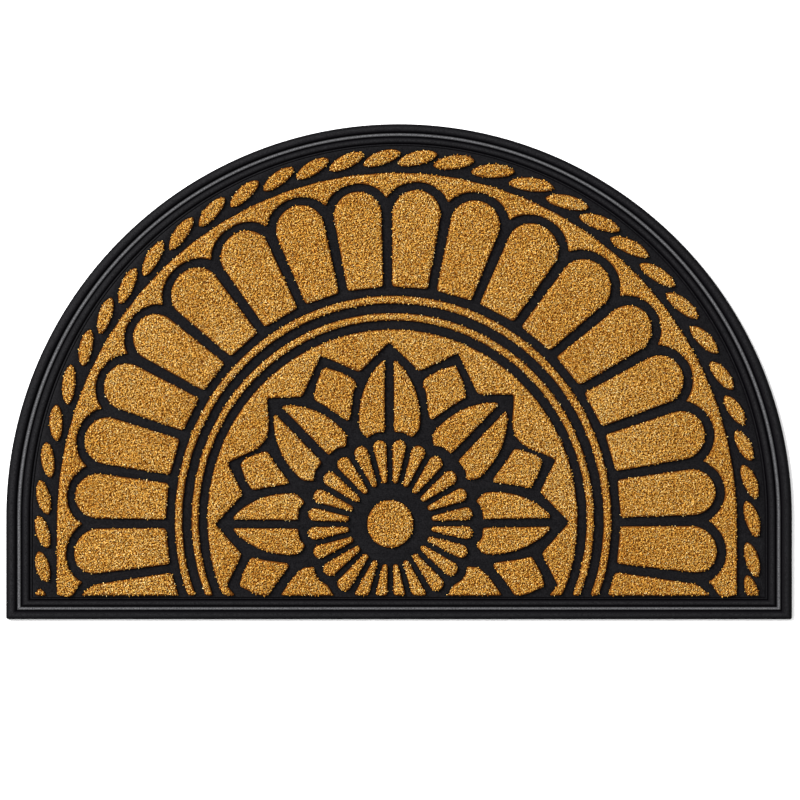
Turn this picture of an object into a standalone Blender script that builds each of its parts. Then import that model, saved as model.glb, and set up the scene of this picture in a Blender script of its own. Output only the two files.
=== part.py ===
"""Half-round doormat: one rubber moulding with a rosette lattice over one pile carpet.

The mat lies flat with its straight side towards -Y. The origin is under the
middle of its bounding box, on the floor. All lengths are metres.
"""
import math

import bmesh
import bpy
import numpy as np

# Outline: a half circle on two short straight sides
HALF_WIDTH = 0.405
DEPTH = 0.5105
SIDE_LENGTH = 0.1055
CORNER_RADIUS = 0.002
ARC_STEPS = 48
# The border is narrower along the top and the bottom than at the sides
VERTICAL_INSET = 0.82

# Heights above the floor
FLOOR_TOP = 0.0020
BACKING_BOTTOM = 0.0023
BACKING_TOP = 0.0033
LATTICE_BOTTOM = 0.0036
LATTICE_TOP = 0.0050
PILE_TOP = 0.0078
CLEARANCE = 0.0003

# Insets from the outline
BACKING_INSET = 0.0262
FIELD_INSET = 0.0303
SMALLEST_FIELD = 0.00002

# Border section, from the outer edge to the flat: (inset, height)
BORDER_SECTION = (
    (0.0000, 0.0000),
    (0.0000, 0.0018),
    (0.0012, 0.0040),
    (0.0052, 0.0060),
    (0.0090, 0.0054),
    (0.0116, 0.0040),
    (0.0128, 0.0050),
    (0.0143, 0.0057),
    (0.0156, 0.0050),
    (0.0168, 0.0041),
    (0.0184, 0.0053),
    (0.0209, 0.0060),
    (0.0237, 0.0053),
    (0.0256, 0.0043),
    (0.0265, 0.0050),
)

# The rings of the pattern are a little off one another's centres:
# (radius, centre x, centre y, stretch along Y)
RING_CENTRES = (
    (0.024, -0.0089, -0.1569, 1.030),
    (0.085, -0.0088, -0.1560, 1.022),
    (0.180, -0.0070, -0.1535, 1.012),
    (0.190, -0.0067, -0.1525, 1.027),
    (0.235, -0.0058, -0.1528, 1.026),
    (0.330, -0.0035, -0.1544, 1.034),
    (0.350, -0.0021, -0.1547, 1.027),
    (0.366, -0.0015, -0.1547, 1.0265),
)
# The spokes lean more the further out they are, and sink towards -X by an angle.
# They lie closer together near the X axis and at the diagonals, by distances that
# count from a radius outwards: (distance, radius)
SPOKE_LEAN = math.radians(3.9)
SPOKE_SINK = math.radians(0.6)
SPOKE_SQUEEZE = (0.0020, 0.128)
SPOKE_WAVER = (0.00097, 0.065)
# Below the centre the outer rings go straight down, like the sides of the mat
STILT_START = 0.235
STILT_END = 0.320

# Middle of the rosette. The small petals reach furthest near the axes, and those
# below the middle are longer: (distance from the centre, half width)
DISC_RADIUS = 0.0237
SMALL_PETALS = 24
SMALL_PETAL_INNER = (0.0435, 0.0028)
SMALL_PETAL_OUTER = (0.0775, 0.0068)
INNER_SWING = (0.0010, 0.0015)
OUTER_SWING = 0.0008
OUTER_SINK = 0.0010

# Long petals, each split by a centre rib: (distance from the centre, half width)
LONG_PETALS = 8
PETAL_RIB_HALF = 0.0048
PETALS_WITHOUT_RIB = (5, 7)
# Both sides of the mat are alike: (angle above the X axis, shift upwards, widening,
# further tip, further base, further lobes), angles in degrees
PETAL_FORMS = (
    (-45, 0.30, 0.950, 0.0000, 0.0012, 0.0018),
    (0, -0.42, 1.055, 0.0001, 0.0032, 0.0018),
    (45, 0.54, 1.020, -0.0013, 0.0012, 0.0008),
    (90, 0.00, 1.000, 0.0000, -0.0003, 0.0001),
)
PETAL_SIDE = (
    (0.0900, 0.0270),
    (0.0935, 0.0298),
    (0.1035, 0.0312),
    (0.1165, 0.0303),
    (0.1310, 0.0271),
    (0.1480, 0.0191),
    (0.1565, 0.0131),
    (0.1632, 0.0065),
)
PETAL_BASE_RADIUS = 0.0922
PETAL_LOBE_RADIUS = 0.0888

# Lozenges between the long petals: (radius, half angle)
LOZENGE_SIDE = (
    (0.1112, math.radians(1.0)),
    (0.1340, math.radians(6.5)),
    (0.1455, math.radians(9.1)),
    (0.1500, math.radians(8.1)),
    (0.1600, math.radians(4.6)),
    (0.1685, math.radians(0.9)),
)
# (angle above the X axis, shift upwards, twist, widening, further inner end,
# further middle, further outer end), angles in degrees
LOZENGE_FORMS = (
    (-22.5, -0.56, -0.30, 0.92, 0.0030, 0.0008, 0.0000),
    (22.5, -0.07, -0.28, 0.93, 0.0025, 0.0012, -0.0033),
    (67.5, 0.00, -1.10, 0.97, 0.0015, -0.0001, 0.0006),
)

# Outline of the whole rosette: (angle above the X axis, shift upwards, radius)
PETAL_TIPS = (
    (-45, 0.6, 0.1777),
    (0, -0.6, 0.1810),
    (45, 0.75, 0.1777),
    (90, 0.0, 0.1801),
)
LOZENGE_TIPS = (
    (-22.5, 0.6, 0.1819),
    (22.5, -1.8, 0.1781),
    (67.5, 0.0, 0.1814),
)
# The notch either side of each petal: (angle above the X axis, shift upwards,
# angle from the petal's middle, radius below the petal, radius above it)
NOTCHES = (
    (-45, 0.2, 10.4, 0.1740, 0.1740),
    (0, -0.5, 11.9, 0.1580, 0.1557),
    (45, -0.2, 10.4, 0.1540, 0.1565),
    (90, 0.0, 11.4, 0.1550, 0.1550),
)

# Plain rings of pile: (inner radius, outer radius)
ROSETTE_FIELD_RADIUS = 0.1905
PLAIN_RINGS = (
    (0.2003, 0.2072),
    (0.2174, 0.2248),
)

# Arcade: arches between spokes
ARCHES = 32
ARCH_BASE_RADIUS = 0.2345
ARCH_SPRING_RADIUS = 0.3068
ARCH_TOP_RADIUS = 0.3308
SPOKE_BASE_HALF = 0.0047
SPOKE_SPRING_HALF = 0.0056
# Each spoke's shift, the spokes being unevenly spaced: (spoke, degrees at the base,
# degrees at the spring)
SPOKE_SHIFTS = (
    (-1, -0.81, 0.75),
    (0, -0.48, 0.11),
    (1, -0.12, -0.53),
    (2, 0.19, -0.79),
    (3, 0.39, -1.00),
    (4, 0.12, -1.45),
    (5, 0.10, -0.80),
    (6, 0.40, -0.15),
    (7, 0.30, 0.04),
    (8, 0.20, 0.05),
    (9, 0.16, 0.00),
    (10, -0.15, 0.15),
    (11, 0.20, 0.60),
    (12, 0.05, 1.24),
    (13, -0.43, 0.86),
    (14, -0.35, 0.56),
    (15, 0.04, 0.37),
    (16, 0.38, -0.18),
    (17, 0.69, -0.76),
)
# Band over the arches: its scallops are wider than the arches by a margin
SCALLOP_CENTRE_RADIUS = 0.3042
SCALLOP_RISE = 0.0360
SCALLOP_MARGIN = 0.0113
SCALLOP_VALLEY_RADIUS = 0.3222
BAND_OUTER_RADIUS = 0.3500

# Rope border
LEAVES = 60
LEAF_PHASE = math.radians(0.6)
LEAF_RADIUS = 0.3646
LEAF_WIDTH = 0.0133
LEAF_SLANT = math.radians(16.5)
LEAF_POINTEDNESS = 0.4
LEAF_BOW = 0.0008
# The leaves are unevenly spaced and long: (angle, shift, length), angles in degrees
LEAF_FORMS = (
    (-12, 0.50, 0.0340),
    (-5, -0.60, 0.0360),
    (2, -0.08, 0.0395),
    (13, -0.60, 0.0345),
    (25, -1.15, 0.0365),
    (37, -0.64, 0.0415),
    (49, -0.45, 0.0438),
    (61, -0.50, 0.0455),
    (67, -0.20, 0.0475),
    (78, 0.61, 0.0435),
    (85, 0.45, 0.0430),
    (97, -0.12, 0.0397),
    (107, -0.78, 0.0393),
    (120, -0.86, 0.0400),
    (131, -0.85, 0.0420),
    (150, -0.93, 0.0388),
    (156, -0.35, 0.0430),
    (163, 0.33, 0.0385),
    (175, 0.73, 0.0380),
    (187, 0.10, 0.0345),
)

RUBBER_COLOUR = (0.016, 0.015, 0.018, 1.0)
PILE_COLOUR = (0.45, 0.223, 0.045, 1.0)


def clear_scene():
    """Remove every object from the open file."""
    for item in list(bpy.data.objects):
        bpy.data.objects.remove(item, do_unlink=True)


def new_collection(name):
    """Make a collection in the scene."""
    collection = bpy.data.collections.new(name)
    bpy.context.scene.collection.children.link(collection)
    return collection


def outline(inset):
    """Points of the mat's outline, moved inwards by an inset at the sides."""
    rise = VERTICAL_INSET * inset
    half = HALF_WIDTH - inset
    bottom = -DEPTH / 2 + rise
    arc_y = -DEPTH / 2 + SIDE_LENGTH
    fillet = max(CORNER_RADIUS - inset, 0.0004)
    points = []
    for step in range(3):
        angle = math.radians(-90 + 45 * step)
        x = half - fillet + fillet * math.cos(angle)
        y = bottom + fillet + fillet * math.sin(angle)
        points.append((x, y))
    for step in range(ARC_STEPS + 1):
        angle = math.pi * step / ARC_STEPS
        x = half * math.cos(angle)
        y = arc_y + (HALF_WIDTH - rise) * math.sin(angle)
        points.append((x, y))
    for x, y in reversed(points[:3]):
        points.append((-x, y))
    return points


def place(radius, angle):
    """Point of the pattern at a radius and an angle from the rosette's centre."""
    radii, centre_x, centre_y, stretch = zip(*RING_CENTRES)
    turned = angle + SPOKE_LEAN * radius * math.sin(angle)
    for waves, (distance, start) in ((2, SPOKE_SQUEEZE), (4, SPOKE_WAVER)):
        turned -= distance / max(radius, start) * math.sin(waves * angle)
    turned += SPOKE_SINK * (1 - math.cos(angle)) / 2
    reach = radius
    if math.sin(turned) < 0:
        stilt = np.interp(radius, (STILT_START, STILT_END), (0.0, 1.0))
        reach *= 1 + stilt * (1 / max(abs(math.cos(turned)), 0.8) - 1)
    x = np.interp(radius, radii, centre_x) + reach * math.cos(turned)
    y = np.interp(radius, radii, centre_y)
    y += np.interp(radius, radii, stretch) * reach * math.sin(turned)
    return float(x), float(y)


def place_beside(axis, across, along):
    """Point beside a spoke: across it, clockwise, and along it."""
    return place(math.hypot(across, along), axis - math.atan2(across, along))


def arc(radius, start, end, steps):
    """Points of the pattern along a ring."""
    angles = [start + (end - start) * step / steps for step in range(steps + 1)]
    return [place(radius, angle) for angle in angles]


def form_at(forms, angle):
    """The row of a table of forms for an angle, with its shift, in radians, turned.

    The tables hold for the right side of the mat; the left side mirrors it.
    """
    degrees = math.degrees(angle)
    mirror = -1 if degrees > 90 else 1
    climb = 180 - degrees if mirror < 0 else degrees
    row = min(forms, key=lambda form: abs(form[0] - climb))
    return mirror, angle + mirror * math.radians(row[1]), row[2:]


def disc_field():
    """The round field in the middle."""
    steps = 16
    return [place(DISC_RADIUS, 2 * math.pi * step / steps) for step in range(steps)]


def small_petal_fields():
    """Drop-shaped fields around the middle, narrow end inwards."""
    fields = []
    for number in range(SMALL_PETALS):
        axis = 2 * math.pi * (number + 0.5) / SMALL_PETALS
        inner_along, inner_half = SMALL_PETAL_INNER
        inner_along += INNER_SWING[0] * math.cos(2 * axis)
        inner_along += INNER_SWING[1] * math.cos(4 * axis)
        outer_along, outer_half = SMALL_PETAL_OUTER
        outer_along += OUTER_SWING * math.cos(4 * axis) - OUTER_SINK * math.sin(axis)
        points = []
        for turn in (-90, -50, -17, 17, 50, 90):
            angle = math.radians(turn)
            across = outer_half * math.sin(angle)
            along = outer_along + outer_half * math.cos(angle)
            points.append(place_beside(axis, across, along))
        for turn in (100, 155, 205, 260):
            angle = math.radians(turn)
            across = inner_half * math.sin(angle)
            along = inner_along + inner_half * math.cos(angle)
            points.append(place_beside(axis, across, along))
        fields.append(points)
    return fields


def half_petal(axis, side, rib):
    """Half of a long petal: up the rib's side, then down to the base."""
    lobe = 2 * math.pi / SMALL_PETALS
    _, middle, (widening, tip, base, lobes) = form_at(PETAL_FORMS, axis)
    base_radius = PETAL_BASE_RADIUS + base
    corner_radius = base_radius if rib else PETAL_LOBE_RADIUS + lobes
    points = [
        place_beside(middle, rib, corner_radius),
        place_beside(middle, rib, PETAL_SIDE[-1][0] + tip - 0.0015),
    ]
    start, end = PETAL_SIDE[0][0], PETAL_SIDE[-1][0]
    for along, across in reversed(PETAL_SIDE):
        share = (along - start) / (end - start)
        further = tip * share + lobes * max(0, 1 - 4 * share)
        points.append(place_beside(middle, side * widening * across, along + further))
    points.append(place(PETAL_LOBE_RADIUS + lobes, axis - side * lobe))
    points.append(place(base_radius, axis - side * 0.62 * lobe))
    points.append(place(base_radius, axis - side * 0.38 * lobe))
    return points


def long_petal_fields():
    """The long petals, in halves either side of a centre rib where they have one."""
    fields = []
    for number in range(-1, LONG_PETALS - 2):
        axis = 2 * math.pi * number / LONG_PETALS
        if number % LONG_PETALS in PETALS_WITHOUT_RIB:
            right = half_petal(axis, 1, 0)
            left = half_petal(axis, -1, 0)
            fields.append(right[2:] + [left[0]] + left[:1:-1])
        else:
            fields.append(half_petal(axis, 1, PETAL_RIB_HALF))
            fields.append(half_petal(axis, -1, -PETAL_RIB_HALF)[::-1])
    return fields


def lozenge_fields():
    """The lozenges between the long petals."""
    fields = []
    start, end = LOZENGE_SIDE[0][0], LOZENGE_SIDE[-1][0]
    for number in range(-1, LONG_PETALS - 3):
        axis = 2 * math.pi * (number + 0.5) / LONG_PETALS
        mirror, middle, form = form_at(LOZENGE_FORMS, axis)
        twist, widening, inner, further, outer = form
        right = []
        left = []
        for along, angle in LOZENGE_SIDE:
            share = (along - start) / (end - start)
            radius = along + inner * (1 - share) + outer * share
            radius += further * 4 * share * (1 - share)
            turned = middle + mirror * math.radians(twist) * (share - 0.5)
            right.append(place(radius, turned - widening * angle))
            left.append(place(radius, turned + widening * angle))
        fields.append(right + left[::-1])
    return fields


def blunt_corner(radius, angle):
    """A corner of the rosette's outline, anticlockwise end first."""
    return [place(radius, angle + 0.010), place(radius, angle - 0.010)]


def rosette_ground():
    """The field between the rosette and the first ring."""
    start = math.radians(-33.75)
    end = math.radians(213.75)
    points = arc(ROSETTE_FIELD_RADIUS, start, end, 34)
    pitch = 2 * math.pi / LONG_PETALS
    for number in range(5, -2, -1):
        axis = pitch * number
        mirror, middle, (notch, below, above) = form_at(NOTCHES, axis)
        _, tip_angle, (tip,) = form_at(PETAL_TIPS, axis)
        _, between, (lozenge_tip,) = form_at(LOZENGE_TIPS, axis - pitch / 2)
        before, after = (below, above) if mirror > 0 else (above, below)
        if number < 5:
            points.append(place(after, middle + math.radians(notch)))
            points += blunt_corner(tip, tip_angle)
        if number > -1:
            points.append(place(before, middle - math.radians(notch)))
            points += blunt_corner(lozenge_tip, between)
    return points


def ring_field(inner, outer):
    """One plain ring of pile."""
    start = math.radians(-30)
    end = math.radians(210)
    return arc(outer, start, end, 34) + arc(inner, end, start, 34)


def arch_sides(number):
    """An arch's two sides: ((right, left) at the base, (right, left) at the spring)."""
    spokes, base_shifts, spring_shifts = zip(*SPOKE_SHIFTS)
    sides = []
    for shifts, half, radius in (
        (base_shifts, SPOKE_BASE_HALF, ARCH_BASE_RADIUS),
        (spring_shifts, SPOKE_SPRING_HALF, ARCH_SPRING_RADIUS),
    ):
        pair = []
        for spoke in (number, number + 1):
            shift = math.radians(float(np.interp(spoke, spokes, shifts)))
            pair.append(2 * math.pi * spoke / ARCHES + shift)
        sides.append((pair[0] + half / radius, pair[1] - half / radius))
    return sides


def arch_fields():
    """The round-headed fields of the arcade."""
    fields = []
    rise = ARCH_TOP_RADIUS - ARCH_SPRING_RADIUS
    for number in range(-2, 18):
        (base_right, base_left), (right, left) = arch_sides(number)
        points = [
            place(ARCH_BASE_RADIUS, base_right),
            place(ARCH_BASE_RADIUS, base_left),
        ]
        half = (left - right) / 2 * ARCH_SPRING_RADIUS
        for turn in range(-90, 91, 20):
            angle = math.radians(turn)
            along = ARCH_SPRING_RADIUS + rise * math.cos(angle)
            points.append(place_beside((right + left) / 2, half * math.sin(angle), along))
        fields.append(points)
    return fields


def arch_band():
    """The field over the arcade, scalloped by the arches."""
    points = arc(BAND_OUTER_RADIUS, math.radians(-27), math.radians(207), 40)
    for number in range(18, -3, -1):
        right, left = arch_sides(number)[1]
        half = (left - right) / 2 * ARCH_SPRING_RADIUS + SCALLOP_MARGIN
        for turn in (-54, -33, -11, 11, 33, 54):
            angle = math.radians(turn)
            along = SCALLOP_CENTRE_RADIUS + SCALLOP_RISE * math.cos(angle)
            points.append(place_beside((right + left) / 2, half * math.sin(angle), along))
        spoke = right - SPOKE_SPRING_HALF / ARCH_SPRING_RADIUS
        points.append(place(SCALLOP_VALLEY_RADIUS, spoke))
    return points


def leaf_fields():
    """The slanting leaves of the rope border."""
    fields = []
    angles, shifts, lengths = zip(*LEAF_FORMS)
    for number in range(-2, 33):
        axis = 2 * math.pi * number / LEAVES + LEAF_PHASE
        degrees = math.degrees(axis)
        axis += math.radians(float(np.interp(degrees, angles, shifts)))
        leaf_length = float(np.interp(degrees, angles, lengths))
        points = []
        for step in range(10):
            angle = 2 * math.pi * step / 10
            share = math.cos(angle)
            height = math.sin(angle)
            length = leaf_length / 2 * share
            fullness = abs(height) ** (LEAF_POINTEDNESS * abs(share)) if step % 5 else 0
            width = LEAF_WIDTH / 2 * height * fullness + LEAF_BOW * (1 - share**2)
            across = length * math.cos(LEAF_SLANT) - width * math.sin(LEAF_SLANT)
            along = length * math.sin(LEAF_SLANT) + width * math.cos(LEAF_SLANT)
            points.append(place_beside(axis, across, LEAF_RADIUS + along))
        fields.append(points)
    return fields


def cut_at_bottom(points):
    """The part of an outline above the bottom border."""
    bottom = -DEPTH / 2 + VERTICAL_INSET * FIELD_INSET
    kept = []
    for (x0, y0), (x1, y1) in zip(points, points[1:] + points[:1]):
        if y0 >= bottom:
            kept.append((x0, y0))
        if (y0 >= bottom) != (y1 >= bottom):
            share = (bottom - y0) / (y1 - y0)
            kept.append((x0 + share * (x1 - x0), bottom))
    return kept


def area(points):
    """Signed area of an outline, positive when it runs anticlockwise."""
    pairs = zip(points, points[1:] + points[:1])
    return sum(x0 * y1 - x1 * y0 for (x0, y0), (x1, y1) in pairs) / 2


def pile_fields():
    """Outlines of all the fields of pile, anticlockwise."""
    fields = [disc_field()]
    fields += small_petal_fields()
    fields += long_petal_fields()
    fields += lozenge_fields()
    fields.append(rosette_ground())
    fields += [ring_field(inner, outer) for inner, outer in PLAIN_RINGS]
    fields += arch_fields()
    fields.append(arch_band())
    fields += leaf_fields()
    fields = [cut_at_bottom(points) for points in fields]
    fields = [points for points in fields if abs(area(points)) > SMALLEST_FIELD]
    return [points if area(points) > 0 else points[::-1] for points in fields]


def grown(points, distance):
    """An anticlockwise outline moved outwards by a distance."""
    moved = []
    count = len(points)
    for index in range(count):
        here = np.array(points[index])
        before = here - points[index - 1]
        after = np.array(points[(index + 1) % count]) - here
        before /= np.linalg.norm(before)
        after /= np.linalg.norm(after)
        mitre = np.array((before[1] + after[1], -before[0] - after[0]))
        mitre /= 1 + before.dot(after)
        moved.append(tuple(here + distance * mitre))
    return moved


def material(name, colour, roughness):
    """A plain material."""
    result = bpy.data.materials.new(name)
    result.use_nodes = True
    shader = result.node_tree.nodes["Principled BSDF"]
    shader.inputs["Base Color"].default_value = colour
    shader.inputs["Roughness"].default_value = roughness
    shader.inputs["Metallic"].default_value = 0.0
    return result


def plate(name, outlines, bottom, top, collection):
    """A flat plate, or several, with the outlines given."""
    curve = bpy.data.curves.new(name, "CURVE")
    curve.dimensions = "2D"
    curve.fill_mode = "BOTH"
    curve.extrude = (top - bottom) / 2
    for points in outlines:
        spline = curve.splines.new("POLY")
        spline.points.add(len(points) - 1)
        for point, (x, y) in zip(spline.points, points):
            point.co = (x, y, 0, 1)
        spline.use_cyclic_u = True
    source = bpy.data.objects.new(name + "_curve", curve)
    source.location.z = (top + bottom) / 2
    collection.objects.link(source)
    bpy.context.view_layer.update()
    graph = bpy.context.evaluated_depsgraph_get()
    mesh = bpy.data.meshes.new_from_object(source.evaluated_get(graph))
    shape = bmesh.new()
    shape.from_mesh(mesh)
    bmesh.ops.remove_doubles(shape, verts=shape.verts, dist=0.00002)
    bmesh.ops.recalc_face_normals(shape, faces=shape.faces)
    shape.to_mesh(mesh)
    shape.free()
    result = bpy.data.objects.new(name, mesh)
    result.matrix_world = source.matrix_world
    collection.objects.link(result)
    bpy.data.objects.remove(source)
    bpy.data.curves.remove(curve)
    return result


def moulding_blank(name, collection):
    """The moulding before the pattern is cut: border section lofted inwards."""
    shape = bmesh.new()
    rows = []
    for inset, height in BORDER_SECTION:
        rows.append([shape.verts.new((x, y, height)) for x, y in outline(inset)])
    for lower, upper in zip(rows, rows[1:]):
        for index in range(len(lower)):
            left = index - 1
            face = (lower[left], lower[index], upper[index], upper[left])
            shape.faces.new(face)
    shape.faces.new(rows[0][::-1])
    shape.faces.new(rows[-1])
    bmesh.ops.recalc_face_normals(shape, faces=shape.faces)
    mesh = bpy.data.meshes.new(name)
    shape.to_mesh(mesh)
    shape.free()
    blank = bpy.data.objects.new(name, mesh)
    collection.objects.link(blank)
    return blank


def combine(target, tool, operation):
    """Join a tool to an object or cut it out, and keep the tool as a guide."""
    tool.hide_render = True
    tool.display_type = "WIRE"
    modifier = target.modifiers.new(tool.name, "BOOLEAN")
    modifier.operation = operation
    modifier.solver = "EXACT"
    modifier.object = tool


def build_rubber(collection, cutters):
    """The rubber: floor, border and lattice in one, with a slot for the carpet."""
    rubber = moulding_blank("rubber_moulding", collection)
    slot_outline = outline(BACKING_INSET - CLEARANCE)
    slot = plate("slot", [slot_outline], FLOOR_TOP, LATTICE_BOTTOM, cutters)
    openings = [grown(points, CLEARANCE) for points in pile_fields()]
    middle = (FLOOR_TOP + LATTICE_BOTTOM) / 2
    windows = plate("windows", openings, middle, 2 * LATTICE_TOP, cutters)
    combine(rubber, slot, "DIFFERENCE")
    combine(rubber, windows, "DIFFERENCE")
    rubber.data.materials.append(material("black_rubber", RUBBER_COLOUR, 0.5))
    return rubber


def build_carpet(collection, cutters):
    """The carpet: raised fields of pile on one thin backing."""
    middle = (BACKING_BOTTOM + BACKING_TOP) / 2
    carpet = plate("pile_carpet", pile_fields(), middle, PILE_TOP, collection)
    backing_outline = outline(BACKING_INSET)
    backing = plate("backing", [backing_outline], BACKING_BOTTOM, BACKING_TOP, cutters)
    combine(carpet, backing, "UNION")
    carpet.data.materials.append(material("straw_pile", PILE_COLOUR, 0.95))
    return carpet


def main():
    """Build the doormat."""
    clear_scene()
    collection = new_collection("half_round_doormat")
    cutters = new_collection("cutters")
    mat = bpy.data.objects.new("half_round_doormat", None)
    collection.objects.link(mat)
    for piece in (build_rubber(collection, cutters), build_carpet(collection, cutters)):
        piece.parent = mat


if __name__ == "__main__":
    main()
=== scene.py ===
import math

import bmesh
import bpy
import numpy as np
from bpy.props import FloatProperty, FloatVectorProperty, IntProperty, PointerProperty
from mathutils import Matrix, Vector
from mathutils.geometry import tessellate_polygon


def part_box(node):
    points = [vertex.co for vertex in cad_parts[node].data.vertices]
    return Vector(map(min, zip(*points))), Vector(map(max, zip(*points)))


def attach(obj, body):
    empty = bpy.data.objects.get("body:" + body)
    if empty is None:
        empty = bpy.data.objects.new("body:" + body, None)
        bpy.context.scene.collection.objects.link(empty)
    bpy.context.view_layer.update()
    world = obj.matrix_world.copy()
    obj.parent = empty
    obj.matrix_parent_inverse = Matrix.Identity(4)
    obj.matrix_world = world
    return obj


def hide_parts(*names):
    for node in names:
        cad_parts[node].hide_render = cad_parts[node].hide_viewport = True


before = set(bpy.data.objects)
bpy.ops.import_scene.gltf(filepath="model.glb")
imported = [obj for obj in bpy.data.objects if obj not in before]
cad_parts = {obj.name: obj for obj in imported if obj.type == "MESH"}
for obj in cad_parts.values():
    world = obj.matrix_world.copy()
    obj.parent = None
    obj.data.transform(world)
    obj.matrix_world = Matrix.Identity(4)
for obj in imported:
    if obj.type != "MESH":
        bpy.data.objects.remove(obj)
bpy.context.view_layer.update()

bl_info = {
    "name": "Half-round doormat",
    "version": (1, 0, 0),
    "blender": (4, 5, 0),
    "location": "3D View > Sidebar > Doormat",
    "description": "Dresses a half-round doormat: rubber moulding, carpet and pile",
    "category": "Object",
}

# Imported nodes that the pieces stand for, and names of material slots
RUBBER_NODE = "rubber_moulding"
CARPET_NODE = "pile_carpet"
RUBBER_SLOT = "black_rubber"
PILE_SLOT = "straw_pile"

# Outline of the mat, in metres
HALF_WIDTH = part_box(RUBBER_NODE)[1].x
FRONT_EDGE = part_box(RUBBER_NODE)[0].y
SIDE_LENGTH = 0.1055
CORNER_RADIUS = 0.002
LEAST_RADIUS = 0.0004
CORNER_STEPS = 4
ARC_STEPS = 200
VERTICAL_INSET = 0.82

# Heights above the floor and insets from the outline, in metres
FLOOR_TOP = 0.0020
BACKING_BOTTOM = 0.0023
BACKING_TOP = 0.0033
LATTICE_BOTTOM = 0.0036
LATTICE_TOP = 0.0050
BACKING_INSET = 0.0262
LATTICE_INSET = 0.0282
CLEARANCE = 0.0003

# Beads of the border: (inner edge, height of the groove inside it, crown, wear and painted light), the
# last a light grey painted on the crown as a highlight, with rubbing on the thin bead
OUTER_WALL = 0.0018
BEADS = (
    (0.0111, 0.0036, 0.0060, 0.09),
    (0.0164, 0.0036, 0.0058, 0.85),
    (0.0249, 0.0038, 0.0060, 0.09),
    (0.0276, 0.0046, 0.0053, 0.06),
)
BEAD_STEPS = 14
# Painted sheen of the flat tops, on the same scale
TOP_PAINTED_SHEEN = 0.045
# The higher this is, the more narrowly the painted highlight, and the thin bead's rubbing, keep to a
# bead's crown
WEAR_AND_HIGHLIGHT_POWER = 7

# A turn in an outline sharper than this is a corner, rounded off less where it is acute
CORNER_TURN = math.radians(58)
CORNER_ROUNDING = 0.0044
# A rounded corner takes up at most this share of the sides beside it
CORNER_SHARE = 0.4
# A side this many times longer than the next one stays straight
STRAIGHT_RATIO = 2.5
TURN_STEP = math.radians(7)

# A packed face within this distance of a node's top is one of its highest, in metres
TOP_TOLERANCE = 0.0001
# Faces that meet more sharply than this show an edge
SHARP_ANGLE = math.radians(50)
# Slanting edge of each block of felted ground, in metres
FELT_EDGE = 0.0004

# Pieces that the strands are shared out over
STRAND_PIECES = 5
# Shares of a strand's lean, tried in turn until its tip keeps to its field
LEAN_TRIES = (1.0, 1.0, 1.0, 0.8, 0.8, 0.6, 0.5, 0.35)
# Least and most height of a tip above its root, in metres
STRAND_RISE = (0.0024, 0.0034)
# Shade of the strands, from 0 for rust to 1 for cream
SHADE_MIDDLE = 0.52
SHADE_SPREAD = 0.26
# Blotches: how much they change the shade, and the waves that they are made of, with
# the least and the most radians a metre
BLOTCH_SHARE = 0.06
BLOTCH_WAVES = 6
BLOTCH_RANGE = (18, 55)
# Bake map: what stays free at its edges, and half the width of a strand's strip
MAP_MARGIN = 0.01
STRIP_HALF = 0.004

# Stage, in metres, with the camera's lens and sensor in millimetres
FLOOR_HALF = 9.0
FLOOR_DROP = 0.0003
KEY_SIZE = 3.0
KEY_PLACE = (-7.0, 4.6, 6.1)
VIEW_CENTRE = (0.00105, -0.02925)
FARTHEST_VIEW = 50.0
LENS = 200.0
SENSOR_WIDTH = 36.0


def outline(inset):
    """Points of the mat's outline, anticlockwise, moved inwards by an inset."""
    rise = VERTICAL_INSET * inset
    half = HALF_WIDTH - inset
    bottom = FRONT_EDGE + rise
    fillet = max(CORNER_RADIUS - inset, LEAST_RADIUS)
    points = []
    for step in range(CORNER_STEPS):
        angle = math.radians(-90 + 90 * step / (CORNER_STEPS - 1))
        x = half - fillet + fillet * math.cos(angle)
        points.append((x, bottom + fillet + fillet * math.sin(angle)))
    for step in range(ARC_STEPS + 1):
        angle = math.pi * step / ARC_STEPS
        y = FRONT_EDGE + SIDE_LENGTH + (HALF_WIDTH - rise) * math.sin(angle)
        points.append((half * math.cos(angle), y))
    points += [(-x, y) for x, y in reversed(points[:CORNER_STEPS])]
    return points


def top_outlines(node):
    """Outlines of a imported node's highest faces, anticlockwise."""
    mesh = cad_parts[node].data
    top = max(vertex.co.z for vertex in mesh.vertices)
    keys = [(round(v.co.x, 5), round(v.co.y, 5)) for v in mesh.vertices]
    sides = set()
    for face in mesh.polygons:
        if face.normal.z > 0.9 and face.center.z > top - TOP_TOLERANCE:
            corners = [keys[index] for index in face.vertices]
            sides.update(zip(corners, corners[1:] + corners[:1]))
    after = {start: end for start, end in sides if (end, start) not in sides}
    outlines = []
    while after:
        start, here = after.popitem()
        points = [start]
        while here != start:
            points.append(here)
            here = after.pop(here)
        outlines.append(np.array(points))
    return sorted(outlines, key=lambda points: tuple(points.min(0)))


def turns(sides):
    """Signed turn at the start of each side of an outline."""
    before = np.roll(sides, 1, axis=0)
    cross = before[:, 0] * sides[:, 1] - before[:, 1] * sides[:, 0]
    return np.arctan2(cross, (before * sides).sum(1))


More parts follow.
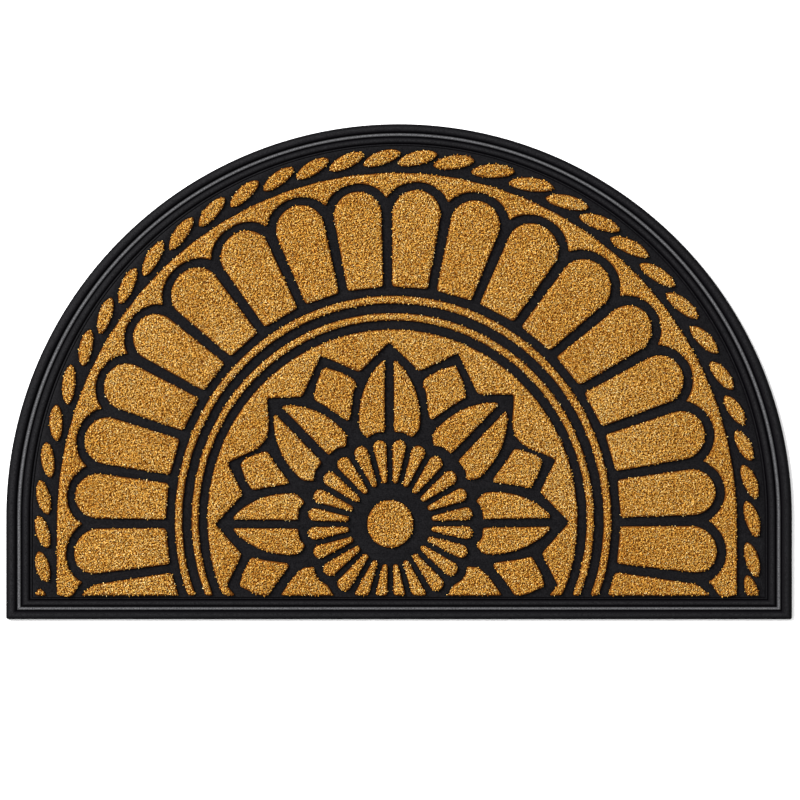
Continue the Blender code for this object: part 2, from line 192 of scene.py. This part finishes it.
def drawn_out(points):
    """A coarse outline drawn out as a smooth one, with small round corners."""
    sides = np.roll(points, -1, axis=0) - points
    lengths = np.linalg.norm(sides, axis=1)
    ways = sides / lengths[:, None]
    turn = turns(sides)
    cuts = CORNER_ROUNDING * np.cos(turn / 2)
    count = len(points)
    smooth = []
    for index in range(count):
        before = index - 1
        long_side = max(lengths[before], lengths[index])
        short_side = min(lengths[before], lengths[index])
        if long_side > STRAIGHT_RATIO * short_side:
            way = ways[before] if lengths[before] > lengths[index] else ways[index]
        else:
            way = ways[before] * lengths[index] + ways[index] * lengths[before]
        smooth.append(way / np.linalg.norm(way))
    drawn = []
    for index in range(count):
        after = (index + 1) % count
        start, end, length = points[index], points[after], lengths[index]
        corner = abs(turn[index]) > CORNER_TURN
        next_corner = abs(turn[after]) > CORNER_TURN
        leave = ways[index] if corner else smooth[index]
        arrive = ways[index] if next_corner else smooth[after]
        bend = math.acos(np.clip(leave.dot(arrive), -1, 1))
        steps = max(1, math.ceil(bend / TURN_STEP))
        first = min(cuts[index] / length, CORNER_SHARE) if corner else 0.0
        last = 1 - (min(cuts[after] / length, CORNER_SHARE) if next_corner else 0.0)
        if corner:
            cut = min(cuts[index], CORNER_SHARE * lengths[index - 1])
            entry = start - ways[index - 1] * cut
            leaving = start + ways[index] * length * first
            for share in (0.25, 0.5, 0.75):
                drawn.append(
                    entry * (1 - share) ** 2
                    + start * 2 * share * (1 - share)
                    + leaving * share**2
                )
        shares = np.linspace(first, last, steps + 1)
        if not next_corner:
            shares = shares[:-1]
        for share in shares:
            square, cube = share**2, share**3
            drawn.append(
                start * (2 * cube - 3 * square + 1)
                + leave * length * (cube - 2 * square + share)
                + end * (3 * square - 2 * cube)
                + arrive * length * (cube - square)
            )
    return np.array(drawn)


def grown(points, distance):
    """An anticlockwise outline moved outwards by a distance."""
    sides = np.roll(points, -1, axis=0) - points
    sides /= np.linalg.norm(sides, axis=1)[:, None]
    outwards = np.stack((sides[:, 1], -sides[:, 0]), axis=1)
    mitre = outwards + np.roll(outwards, 1, axis=0)
    mitre /= 1 + (sides * np.roll(sides, 1, axis=0)).sum(1)[:, None]
    return points + distance * mitre


def is_inside(points, places):
    """For each place, whether it lies inside an outline."""
    inside = np.zeros(len(places), bool)
    x, y = places[:, 0], places[:, 1]
    for start, end in zip(points, np.roll(points, -1, axis=0)):
        spans = (start[1] > y) != (end[1] > y)
        if start[1] == end[1]:
            continue
        across = start[0] + (y - start[1]) * (end[0] - start[0]) / (end[1] - start[1])
        inside ^= spans & (x < across)
    return inside


class Shell:
    """Points and faces of a closed piece, gathered ring by ring."""

    def __init__(self):
        self.points = []
        self.faces = []
        # How much light grey is painted on at each point: a painted highlight and sheen, and rubbing as
        # well on the thin bead
        self.wear_and_painted_light = []

    def ring(self, points, height, wear_and_painted_light=0.0):
        """Add a level ring of points."""
        start = len(self.points)
        self.points += [(float(x), float(y), height) for x, y in points]
        self.wear_and_painted_light += [wear_and_painted_light] * len(points)
        return range(start, len(self.points))

    def wall(self, rings):
        """Join rings of equal length, one to the next."""
        for near, far in zip(rings, rings[1:]):
            for index in range(len(near)):
                before = index - 1
                corners = (near[before], near[index], far[index], far[before])
                self.faces.append(corners)

    def cover(self, rings):
        """Close a level area inside the first ring and outside the others."""
        loops = [[Vector(self.points[index]) for index in ring] for ring in rings]
        corners = [index for ring in rings for index in ring]
        for face in tessellate_polygon(loops):
            self.faces.append([corners[index] for index in face])

    def piece(self, name, materials, smooth_angle):
        """Make the object."""
        mesh = bpy.data.meshes.new(name)
        mesh.from_pydata(self.points, [], self.faces)
        # Light grey painted on the rubber: painted highlight and sheen, with rubbing on the thin bead
        wear_and_painted_light = mesh.attributes.new("wear_and_painted_light", "FLOAT", "POINT")
        wear_and_painted_light.data.foreach_set("value", self.wear_and_painted_light)
        shape = bmesh.new()
        shape.from_mesh(mesh)
        bmesh.ops.recalc_face_normals(shape, faces=shape.faces)
        shape.to_mesh(mesh)
        shape.free()
        mesh.shade_smooth()
        mesh.set_sharp_from_angle(angle=smooth_angle)
        for material in materials:
            mesh.materials.append(material)
        result = bpy.data.objects.new(name, mesh)
        bpy.context.scene.collection.objects.link(result)
        return result


def border_section():
    """The border's section, from the floor inwards: (inset, height, wear and painted light)."""
    rows = [(0.0, 0.0, 0.0), (0.0, OUTER_WALL, 0.0)]
    start, foot = 0.0, OUTER_WALL
    for end, groove, crown, wear_and_painted_light in BEADS:
        for step in range(1, BEAD_STEPS + 1):
            share = step / BEAD_STEPS
            base = foot + (groove - foot) * share
            arch = math.sin(math.pi * share)
            inset = start + (end - start) * (1 - math.cos(math.pi * share)) / 2
            top = base + (crown - (foot + groove) / 2) * arch
            # Painted highlight: the light grey peaks on the crown and fades out into the grooves
            rows.append((inset, min(top, crown), wear_and_painted_light * arch**WEAR_AND_HIGHLIGHT_POWER))
        start, foot = end, groove
    rows.append((LATTICE_INSET, LATTICE_TOP, TOP_PAINTED_SHEEN))
    return rows


def new_material(name):
    """A new node material: its node tree and its shader."""
    material = bpy.data.materials.new(name)
    material.use_nodes = True
    tree = material.node_tree
    return material, tree, tree.nodes["Principled BSDF"]


def add_node(tree, kind, **settings):
    """Add a node, with its properties and the values of its sockets."""
    node = tree.nodes.new(kind)
    for name, value in settings.items():
        if name in node.inputs:
            node.inputs[name].default_value = value
        else:
            setattr(node, name, value)
    return node


def rubber_material(sizes):
    """Black moulded rubber: a fine grain, and light grey painted on the bead crowns and flat tops as a
    highlight and sheen, with rubbing on the thin bead.
    """
    material, tree, shader = new_material("moulded black rubber")
    link = tree.links.new
    place = add_node(tree, "ShaderNodeTexCoord").outputs["Object"]
    grain = add_node(tree, "ShaderNodeTexNoise", Scale=900.0, Detail=3.0)
    cloud = add_node(tree, "ShaderNodeTexNoise", Scale=45.0, Detail=2.0)
    for noise in (grain, cloud):
        link(place, noise.inputs["Vector"])
    body = add_node(tree, "ShaderNodeMix", data_type="RGBA")
    dark, light = body.inputs[6], body.inputs[7]
    colour = sizes.rubber_colour
    dark.default_value = (*[0.5 * value for value in colour], 1)
    light.default_value = (*[1.5 * value for value in colour], 1)
    link(grain.outputs["Fac"], body.inputs[0])
    # Painted highlight and sheen: light grey mixed in where the attribute is high, speckled by the grain
    wear_and_painted_light = add_node(tree, "ShaderNodeAttribute", attribute_name="wear_and_painted_light")
    speckle = add_node(tree, "ShaderNodeMapRange")
    for socket, value in zip(("From Min", "From Max", "To Min"), (0.35, 0.65, 0.3)):
        speckle.inputs[socket].default_value = value
    link(grain.outputs["Fac"], speckle.inputs["Value"])
    rubbed_and_lit = add_node(tree, "ShaderNodeMath", operation="MULTIPLY")
    link(wear_and_painted_light.outputs["Fac"], rubbed_and_lit.inputs[0])
    link(speckle.outputs["Result"], rubbed_and_lit.inputs[1])
    surface = add_node(tree, "ShaderNodeMix", data_type="RGBA")
    surface.inputs[7].default_value = (*sizes.worn_and_highlight_colour, 1)
    link(rubbed_and_lit.outputs[0], surface.inputs[0])
    link(body.outputs[2], surface.inputs[6])
    link(surface.outputs[2], shader.inputs["Base Color"])
    roughness = add_node(tree, "ShaderNodeMapRange")
    roughness.inputs["To Min"].default_value = 0.48
    roughness.inputs["To Max"].default_value = 0.68
    link(cloud.outputs["Fac"], roughness.inputs["Value"])
    link(roughness.outputs["Result"], shader.inputs["Roughness"])
    bump = add_node(tree, "ShaderNodeBump", Strength=0.25, Distance=0.0004)
    link(grain.outputs["Fac"], bump.inputs["Height"])
    link(bump.outputs["Normal"], shader.inputs["Normal"])
    shader.inputs["Specular IOR Level"].default_value = sizes.rubber_gloss
    return material


def pile_shades(tree, pile, shade):
    """Colour of the pile at a shade from 0 to 1."""
    node = add_node(tree, "ShaderNodeValToRGB")
    ramp = node.color_ramp
    ramp.elements[0].color = (*pile.rust_colour, 1)
    ramp.elements[-1].color = (*pile.cream_colour, 1)
    middle = (
        (0.22, pile.brown_colour),
        (0.55, pile.straw_colour),
        (0.82, pile.gold_colour),
    )
    for position, colour in middle:
        ramp.elements.new(position).color = (*colour, 1)
    tree.links.new(shade, node.inputs["Fac"])
    return node.outputs["Color"]


def backing_material(pile):
    """The felted ground that the strands grow from, dark brown: partly its own colour, partly painted
    shade between the strands.
    """
    material, tree, shader = new_material("felted ground")
    link = tree.links.new
    place = add_node(tree, "ShaderNodeTexCoord").outputs["Object"]
    fuzz = add_node(tree, "ShaderNodeTexNoise", Scale=700.0, Detail=4.0)
    link(place, fuzz.inputs["Vector"])
    body = add_node(tree, "ShaderNodeMix", data_type="RGBA")
    body.inputs[6].default_value = (*[0.5 * value for value in pile.root_and_shade_colour], 1)
    body.inputs[7].default_value = (*[1.3 * value for value in pile.root_and_shade_colour], 1)
    link(fuzz.outputs["Fac"], body.inputs[0])
    link(body.outputs[2], shader.inputs["Base Color"])
    bump = add_node(tree, "ShaderNodeBump", Strength=0.8, Distance=0.0006)
    link(fuzz.outputs["Fac"], bump.inputs["Height"])
    link(bump.outputs["Normal"], shader.inputs["Normal"])
    shader.inputs["Roughness"].default_value = 0.95
    shader.inputs["Specular IOR Level"].default_value = 0.1
    return material


def strand_material(pile):
    """Straw-coloured strands, each its own shade, darker towards the root, partly as painted shade deep
    in the pile.
    """
    material, tree, shader = new_material("straw strands")
    link = tree.links.new
    shade = add_node(tree, "ShaderNodeAttribute", attribute_name="shade")
    along = add_node(tree, "ShaderNodeAttribute", attribute_name="along")
    # Painted shade along with the roots' own brown: the lower half of each strand fades to the root
    # colour
    fade = add_node(tree, "ShaderNodeMapRange")
    fade.inputs["From Max"].default_value = 0.5
    link(along.outputs["Fac"], fade.inputs["Value"])
    colour = add_node(tree, "ShaderNodeMix", data_type="RGBA")
    colour.inputs[6].default_value = (*pile.root_and_shade_colour, 1)
    link(fade.outputs["Result"], colour.inputs[0])
    link(pile_shades(tree, pile, shade.outputs["Fac"]), colour.inputs[7])
    link(colour.outputs[2], shader.inputs["Base Color"])
    shader.inputs["Roughness"].default_value = 0.7
    shader.inputs["Specular IOR Level"].default_value = 0.12
    return material


def ride_as(piece, slot, *nodes):
    """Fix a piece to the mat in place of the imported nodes."""
    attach(piece, "root")
    if nodes:
        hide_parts(*nodes)
    return piece


def moulding(sizes):
    """The rubber in one: floor, beaded border and the lattice with its windows."""
    shell = Shell()
    border = [
        shell.ring(outline(inset), height, wear_and_painted_light)
        for inset, height, wear_and_painted_light in border_section()
    ]
    slot_line = outline(BACKING_INSET - CLEARANCE)
    slot_floor = shell.ring(slot_line, FLOOR_TOP)
    slot_roof = shell.ring(slot_line, LATTICE_BOTTOM)
    edge = sizes.rib_edge
    upper, lower = [], []
    for field in top_outlines(CARPET_NODE):
        window = grown(drawn_out(field), CLEARANCE)
        rings = [shell.ring(window, LATTICE_BOTTOM)]
        for turn in (0, 30, 60, 90):
            angle = math.radians(turn)
            widened = grown(window, edge * (1 - math.cos(angle)))
            drop = edge * (1 - math.sin(angle))
            # Painted shade: the light grey fades off down the rounded rib edge, so it shows darker next
            # to the window
            wear_and_painted_light = TOP_PAINTED_SHEEN * turn / 90
            rings.append(shell.ring(widened, LATTICE_TOP - drop, wear_and_painted_light))
        shell.wall(rings)
        lower.append(rings[0])
        upper.append(rings[-1])
    shell.wall(border)
    shell.cover([border[0]])
    shell.cover([border[-1]] + upper)
    shell.cover([slot_roof] + lower)
    shell.wall([slot_floor, slot_roof])
    shell.cover([slot_floor])
    material = rubber_material(sizes)
    piece = shell.piece("rubber", [material], SHARP_ANGLE)
    return ride_as(piece, RUBBER_SLOT, RUBBER_NODE)


def carpet(pile):
    """The carpet without its strands: felted blocks on one thin backing."""
    shell = Shell()
    edge_line = outline(BACKING_INSET)
    bottom = shell.ring(edge_line, BACKING_BOTTOM)
    top = shell.ring(edge_line, BACKING_TOP)
    feet = []
    for field in top_outlines(CARPET_NODE):
        line = drawn_out(field)
        rings = [
            shell.ring(line, BACKING_TOP),
            shell.ring(line, pile.ground_height - FELT_EDGE),
            shell.ring(grown(line, -FELT_EDGE), pile.ground_height),
        ]
        shell.wall(rings)
        shell.cover([rings[-1]])
        feet.append(rings[0])
    shell.wall([bottom, top])
    shell.cover([bottom])
    shell.cover([top] + feet)
    piece = shell.piece("carpet", [backing_material(pile)], SHARP_ANGLE)
    return ride_as(piece, PILE_SLOT, CARPET_NODE)


def patches(places, draw):
    """Soft blotches over the mat, about -1 to 1."""
    total = np.zeros(len(places))
    for _ in range(BLOTCH_WAVES):
        way = draw.uniform(0, 2 * math.pi)
        waves = draw.uniform(*BLOTCH_RANGE)
        phase = draw.uniform(0, 2 * math.pi)
        along = places[:, 0] * math.cos(way) + places[:, 1] * math.sin(way)
        total += np.sin(along * waves + phase)
    return total / (BLOTCH_WAVES / 2)


def strand_ends(field, pile, draw):
    """Roots and tips of the strands of one field, as level places."""
    line = drawn_out(field)
    bed = grown(line, -pile.setback)
    spill = grown(line, pile.overhang)
    low, high = field.min(0), field.max(0)
    step = pile.spacing
    columns = np.arange(low[0], high[0] + step, step)
    rows = np.arange(low[1], high[1] + step, step)
    roots = np.stack(np.meshgrid(columns, rows), axis=-1).reshape(-1, 2)
    roots += draw.uniform(-0.5, 0.5, roots.shape) * step
    roots = roots[is_inside(bed, roots)]
    tips = roots.copy()
    left = np.arange(len(roots))
    for share in LEAN_TRIES:
        if not len(left):
            break
        reach = share * draw.uniform(pile.reach_min, pile.reach_max, len(left))
        way = draw.uniform(0, 2 * math.pi, len(left))
        offset = np.stack((np.cos(way), np.sin(way)), axis=1) * reach[:, None]
        tried = roots[left] + offset
        loose = draw.random(len(left)) < pile.loose_share
        good = is_inside(bed, tried) | (loose & is_inside(spill, tried))
        tips[left[good]] = tried[good]
        left = left[~good]
    return roots, tips


def strand_mesh(name, roots, tips, pile, draw):
    """One mesh of strands of four faces, with an upright edge at the root and a level one at the tip."""
    count = len(roots)
    top = draw.uniform(pile.top_min, pile.top_max, count)
    start = np.column_stack((roots, top - draw.uniform(*STRAND_RISE, count)))
    end = np.column_stack((tips, top))
    way = end - start
    way /= np.linalg.norm(way, axis=1)[:, None]
    level = np.column_stack((-way[:, 1], way[:, 0], np.zeros(count)))
    upright = np.linalg.norm(level, axis=1) < 1e-6
    level[upright] = (1, 0, 0)
    level /= np.linalg.norm(level, axis=1)[:, None]
    rise = np.cross(level, way)
    width = draw.uniform(pile.width_min, pile.width_max, count)[:, None] / 2
    rooted = rise * width
    tipped = level * width
    points = np.stack((start - rooted, start + rooted, end - tipped, end + tipped), 1)
    faces = np.array(((0, 1, 2), (0, 3, 1), (0, 2, 3), (1, 3, 2)))
    corners = (faces[None] + 4 * np.arange(count)[:, None, None]).reshape(-1)
    mesh = bpy.data.meshes.new(name)
    mesh.vertices.add(4 * count)
    mesh.vertices.foreach_set("co", points.reshape(-1))
    mesh.loops.add(len(corners))
    mesh.loops.foreach_set("vertex_index", corners)
    mesh.polygons.add(4 * count)
    mesh.polygons.foreach_set("loop_start", np.arange(0, len(corners), 3))
    mesh.update(calc_edges=True)
    middle = (roots + tips) / 2
    shade = draw.normal(SHADE_MIDDLE, SHADE_SPREAD, count) - BLOTCH_SHARE * patches(middle, draw)
    shade = np.clip(shade, MAP_MARGIN, 1 - MAP_MARGIN)
    along = np.tile((0.0, 0.0, 1.0, 1.0), count)
    for label, values in (("shade", np.repeat(shade, 4)), ("along", along)):
        attribute = mesh.attributes.new(label, "FLOAT", "POINT")
        attribute.data.foreach_set("value", values)
    # Bake map: every strand is a narrow strip at its own shade
    beside = np.tile((-STRIP_HALF, STRIP_HALF, -STRIP_HALF, STRIP_HALF), count)
    across = np.repeat(shade, 4) * (1 - 2 * MAP_MARGIN) + MAP_MARGIN + beside
    strip = np.column_stack((across, along))
    layer = mesh.uv_layers.new(name="OFBake")
    layer.uv.foreach_set("vector", strip[corners].reshape(-1))
    return mesh


class DoormatRubber(bpy.types.PropertyGroup):
    """Sizes and colours of the rubber."""

    rib_edge: FloatProperty(
        name="Rib edge",
        description="Radius of the rounded upper edges of the ribs",
        default=0.0005,
        min=0.0001,
        max=0.0012,
        unit="LENGTH",
        precision=4,
    )
    rubber_colour: FloatVectorProperty(
        name="Rubber",
        description="Colour of the moulded rubber",
        default=(0.0010, 0.0008, 0.0013),
        min=0.0,
        max=1.0,
        subtype="COLOR",
    )
    # The light grey painted on the crowns and flat tops: a painted highlight and sheen, and rubbing as
    # well on the thin bead
    worn_and_highlight_colour: FloatVectorProperty(
        name="Rubbed bead",
        description="Colour of the thin bead where it is rubbed",
        default=(0.13, 0.13, 0.135),
        min=0.0,
        max=1.0,
        subtype="COLOR",
    )
    rubber_gloss: FloatProperty(
        name="Gloss",
        description="How strongly the rubber reflects",
        default=0.023,
        min=0.0,
        max=1.0,
        subtype="FACTOR",
    )


class DoormatPile(bpy.types.PropertyGroup):
    """Sizes and colours of the pile."""

    ground_height: FloatProperty(
        name="Ground",
        description="Height of the felted ground under the strands",
        default=0.0071,
        unit="LENGTH",
        precision=4,
    )
    spacing: FloatProperty(
        name="Spacing",
        description="Distance between strands",
        default=0.00087,
        min=0.0008,
        unit="LENGTH",
        precision=4,
    )
    setback: FloatProperty(
        name="Setback",
        description="How far inside the edge of its field the pile is rooted",
        default=0.00085,
        unit="LENGTH",
        precision=4,
    )
    overhang: FloatProperty(
        name="Overhang",
        description="How far loose strands lean out over the ribs",
        default=0.0018,
        unit="LENGTH",
        precision=4,
    )
    loose_share: FloatProperty(
        name="Loose strands",
        description="Share of the strands that may lean out over the ribs",
        default=0.45,
        min=0.0,
        max=1.0,
        subtype="FACTOR",
    )
    reach_min: FloatProperty(
        name="Least lean",
        description="Shortest level distance from root to tip",
        default=0.0006,
        unit="LENGTH",
        precision=4,
    )
    reach_max: FloatProperty(
        name="Most lean",
        description="Longest level distance from root to tip",
        default=0.0026,
        unit="LENGTH",
        precision=4,
    )
    top_min: FloatProperty(
        name="Lowest tip",
        description="Height of the lowest tips above the floor",
        default=0.0076,
        unit="LENGTH",
        precision=4,
    )
    top_max: FloatProperty(
        name="Highest tip",
        description="Height of the highest tips above the floor",
        default=0.0096,
        unit="LENGTH",
        precision=4,
    )
    width_min: FloatProperty(
        name="Thinnest",
        description="Width of the thinnest strands",
        default=0.00045,
        unit="LENGTH",
        precision=4,
    )
    width_max: FloatProperty(
        name="Thickest",
        description="Width of the thickest strands",
        default=0.00095,
        unit="LENGTH",
        precision=4,
    )
    # Dark brown of the roots and the felted ground, partly painted shade deep in the pile
    root_and_shade_colour: FloatVectorProperty(
        name="Roots",
        description="Colour deep in the pile",
        default=(0.092, 0.028, 0.002),
        min=0.0,
        max=1.0,
        subtype="COLOR",
    )
    rust_colour: FloatVectorProperty(
        name="Rust",
        description="Colour of the reddest strands",
        default=(0.21, 0.056, 0.003),
        min=0.0,
        max=1.0,
        subtype="COLOR",
    )
    brown_colour: FloatVectorProperty(
        name="Brown",
        description="Colour of the darker strands",
        default=(0.44, 0.175, 0.013),
        min=0.0,
        max=1.0,
        subtype="COLOR",
    )
    straw_colour: FloatVectorProperty(
        name="Straw",
        description="Colour of most strands",
        default=(0.63, 0.33, 0.050),
        min=0.0,
        max=1.0,
        subtype="COLOR",
    )
    gold_colour: FloatVectorProperty(
        name="Gold",
        description="Colour of the lighter strands",
        default=(0.72, 0.47, 0.130),
        min=0.0,
        max=1.0,
        subtype="COLOR",
    )
    cream_colour: FloatVectorProperty(
        name="Cream",
        description="Colour of the palest strands",
        default=(0.82, 0.63, 0.29),
        min=0.0,
        max=1.0,
        subtype="COLOR",
    )
    seed: IntProperty(
        name="Seed",
        description="Another number lays the strands another way",
        default=7,
        min=0,
    )


class DoormatStage(bpy.types.PropertyGroup):
    """Floor, light and camera."""

    floor_colour: FloatVectorProperty(
        name="Floor",
        description="Colour of the floor",
        default=(0.99, 0.99, 0.99),
        min=0.0,
        max=1.0,
        subtype="COLOR",
    )
    ambient: FloatProperty(
        name="Room light",
        description="Strength of the even light from all round",
        default=0.96,
        min=0.0,
    )
    key_power: FloatProperty(
        name="Key light",
        description="Power of the large light beyond the top left corner",
        default=2730.0,
        min=0.0,
        unit="POWER",
    )
    view_width: FloatProperty(
        name="View width",
        description="Width of floor that the camera takes in",
        default=0.824,
        min=0.1,
        unit="LENGTH",
    )


class DOORMAT_OT_rubber(bpy.types.Operator):
    """Make the rubber moulding with its beaded border and its lattice"""

    bl_idname = "doormat.rubber"
    bl_label = "Rubber moulding"

    def execute(self, context):
        moulding(context.scene.doormat_rubber)
        return {"FINISHED"}


class DOORMAT_OT_carpet(bpy.types.Operator):
    """Make the carpet's ground and its strands, field by field"""

    bl_idname = "doormat.carpet"
    bl_label = "Carpet and pile"

    def execute(self, context):
        pile = context.scene.doormat_pile
        ground = carpet(pile)
        material = strand_material(pile)
        draw = np.random.default_rng(pile.seed)
        fields = top_outlines(CARPET_NODE)
        grown_in = [strand_ends(field, pile, draw) for field in fields]
        roots = np.concatenate([pair[0] for pair in grown_in])
        tips = np.concatenate([pair[1] for pair in grown_in])
        order = np.argsort(roots[:, 0], kind="stable")
        zones = np.array_split(order, STRAND_PIECES)
        for number, zone in enumerate(zones, 1):
            name = f"pile_{number}"
            mesh = strand_mesh(name, roots[zone], tips[zone], pile, draw)
            mesh.materials.append(material)
            piece = bpy.data.objects.new(name, mesh)
            context.scene.collection.objects.link(piece)
            ride_as(piece, PILE_SLOT, CARPET_NODE)
        cut = outline(BACKING_INSET)
        print("strands", len(roots), "triangles", 4 * len(roots))
        return {"FINISHED"}


class DOORMAT_OT_stage(bpy.types.Operator):
    """Set up the floor, the light and the camera"""

    bl_idname = "doormat.stage"
    bl_label = "Stage"

    def execute(self, context):
        stage = context.scene.doormat_stage
        scene = context.scene
        scene.view_settings.view_transform = "Standard"
        mesh = bpy.data.meshes.new("floor")
        half = FLOOR_HALF
        corners = [(-half, -half), (half, -half), (half, half), (-half, half)]
        mesh.from_pydata([(x, y, -FLOOR_DROP) for x, y in corners], [], [(0, 1, 2, 3)])
        material, _, shader = new_material("pale floor")
        shader.inputs["Base Color"].default_value = (*stage.floor_colour, 1)
        shader.inputs["Roughness"].default_value = 0.9
        shader.inputs["Specular IOR Level"].default_value = 0.1
        mesh.materials.append(material)
        floor = bpy.data.objects.new("floor", mesh)
        scene.collection.objects.link(floor)
        world = bpy.data.worlds.new("room")
        world.use_nodes = True
        world.node_tree.nodes["Background"].inputs["Color"].default_value = (1, 1, 1, 1)
        strength = world.node_tree.nodes["Background"].inputs["Strength"]
        strength.default_value = stage.ambient
        scene.world = world
        light = bpy.data.lights.new("key", "AREA")
        light.size = KEY_SIZE
        light.energy = stage.key_power
        key = bpy.data.objects.new("key", light)
        key.location = KEY_PLACE
        aim = Vector((0, 0, 0)) - key.location
        key.rotation_euler = aim.to_track_quat("-Z", "Y").to_euler()
        key.visible_camera = False
        scene.collection.objects.link(key)
        lens = bpy.data.cameras.new("camera")
        lens.lens = LENS
        lens.sensor_width = SENSOR_WIDTH
        lens.clip_end = FARTHEST_VIEW
        camera = bpy.data.objects.new("camera", lens)
        distance = stage.view_width * lens.lens / lens.sensor_width
        camera.location = (*VIEW_CENTRE, distance + LATTICE_TOP)
        scene.collection.objects.link(camera)
        scene.camera = camera
        return {"FINISHED"}


class DOORMAT_PT_sidebar(bpy.types.Panel):
    """Lists what makes up the doormat"""

    bl_label = "Half-round doormat"
    bl_space_type = "VIEW_3D"
    bl_region_type = "UI"
    bl_category = "Doormat"

    def draw(self, context):
        layout = self.layout
        for group, operator in PANEL_ROWS:
            box = layout.box()
            settings = getattr(context.scene, group)
            for name in settings.bl_rna.properties.keys():
                if name not in ("rna_type", "name"):
                    box.prop(settings, name)
            box.operator(operator)


GROUPS = {
    "doormat_rubber": DoormatRubber,
    "doormat_pile": DoormatPile,
    "doormat_stage": DoormatStage,
}
PANEL_ROWS = (
    ("doormat_rubber", "doormat.rubber"),
    ("doormat_pile", "doormat.carpet"),
    ("doormat_stage", "doormat.stage"),
)
CLASSES = (
    *GROUPS.values(),
    DOORMAT_OT_rubber,
    DOORMAT_OT_carpet,
    DOORMAT_OT_stage,
    DOORMAT_PT_sidebar,
)


def register():
    """Register the classes and the scene's settings."""
    for item in CLASSES:
        bpy.utils.register_class(item)
    for name, group in GROUPS.items():
        setattr(bpy.types.Scene, name, PointerProperty(type=group))


def unregister():
    """Take the settings and the classes away again."""
    for name in GROUPS:
        delattr(bpy.types.Scene, name)
    for item in reversed(CLASSES):
        bpy.utils.unregister_class(item)


def main():
    """Make every piece and the stage."""
    register()
    bpy.ops.doormat.rubber()
    bpy.ops.doormat.carpet()
    bpy.ops.doormat.stage()


if __name__ == "__main__":
    main()
